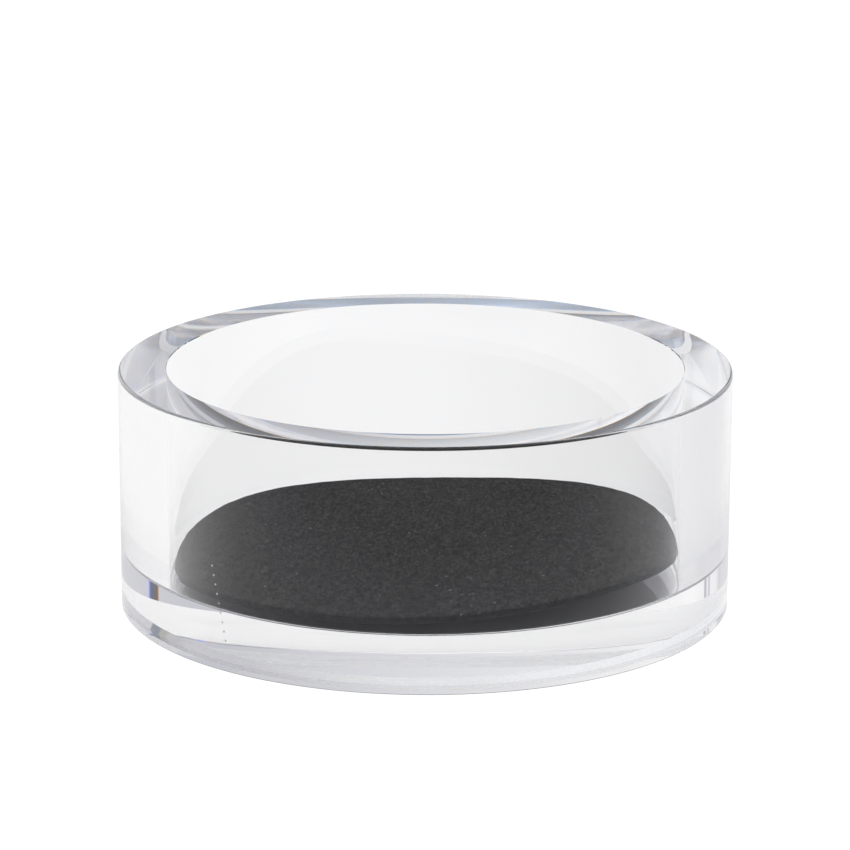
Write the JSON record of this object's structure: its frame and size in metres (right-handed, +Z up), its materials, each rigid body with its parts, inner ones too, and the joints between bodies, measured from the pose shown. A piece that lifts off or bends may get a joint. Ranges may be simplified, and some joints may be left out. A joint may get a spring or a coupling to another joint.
{
  "type": "acrylic bottle coaster",
  "caption": "Thick-walled clear acrylic round dish, open at the top, with a loose black felt pad on its floor, for standing a bottle in.",
  "frame": {"origin": "centre of the foot, on the axis of the dish, so z = 0 is the plane the dish stands on", "axes": "+Z up along the axis of the dish, out of its mouth; -Y towards the viewer; +X to the viewer's right, where the loose pad curls up highest"},
  "size_m": [0.127, 0.127, 0.05],
  "materials": {
    "clear_acrylic": "polished",
    "black_felt": "matte"
  },
  "bodies": {
    "dish": {"wall_tube": "clear_acrylic", "base_disc": "clear_acrylic"},
    "pad": {"felt_pad": "black_felt"}
  },
  "joints": [
    {"name": "pad_lift_out", "type": "slide", "parent": "dish", "child": "pad", "axis": [0, 0, 1], "range_m": [0, 0.045]}
  ]
}
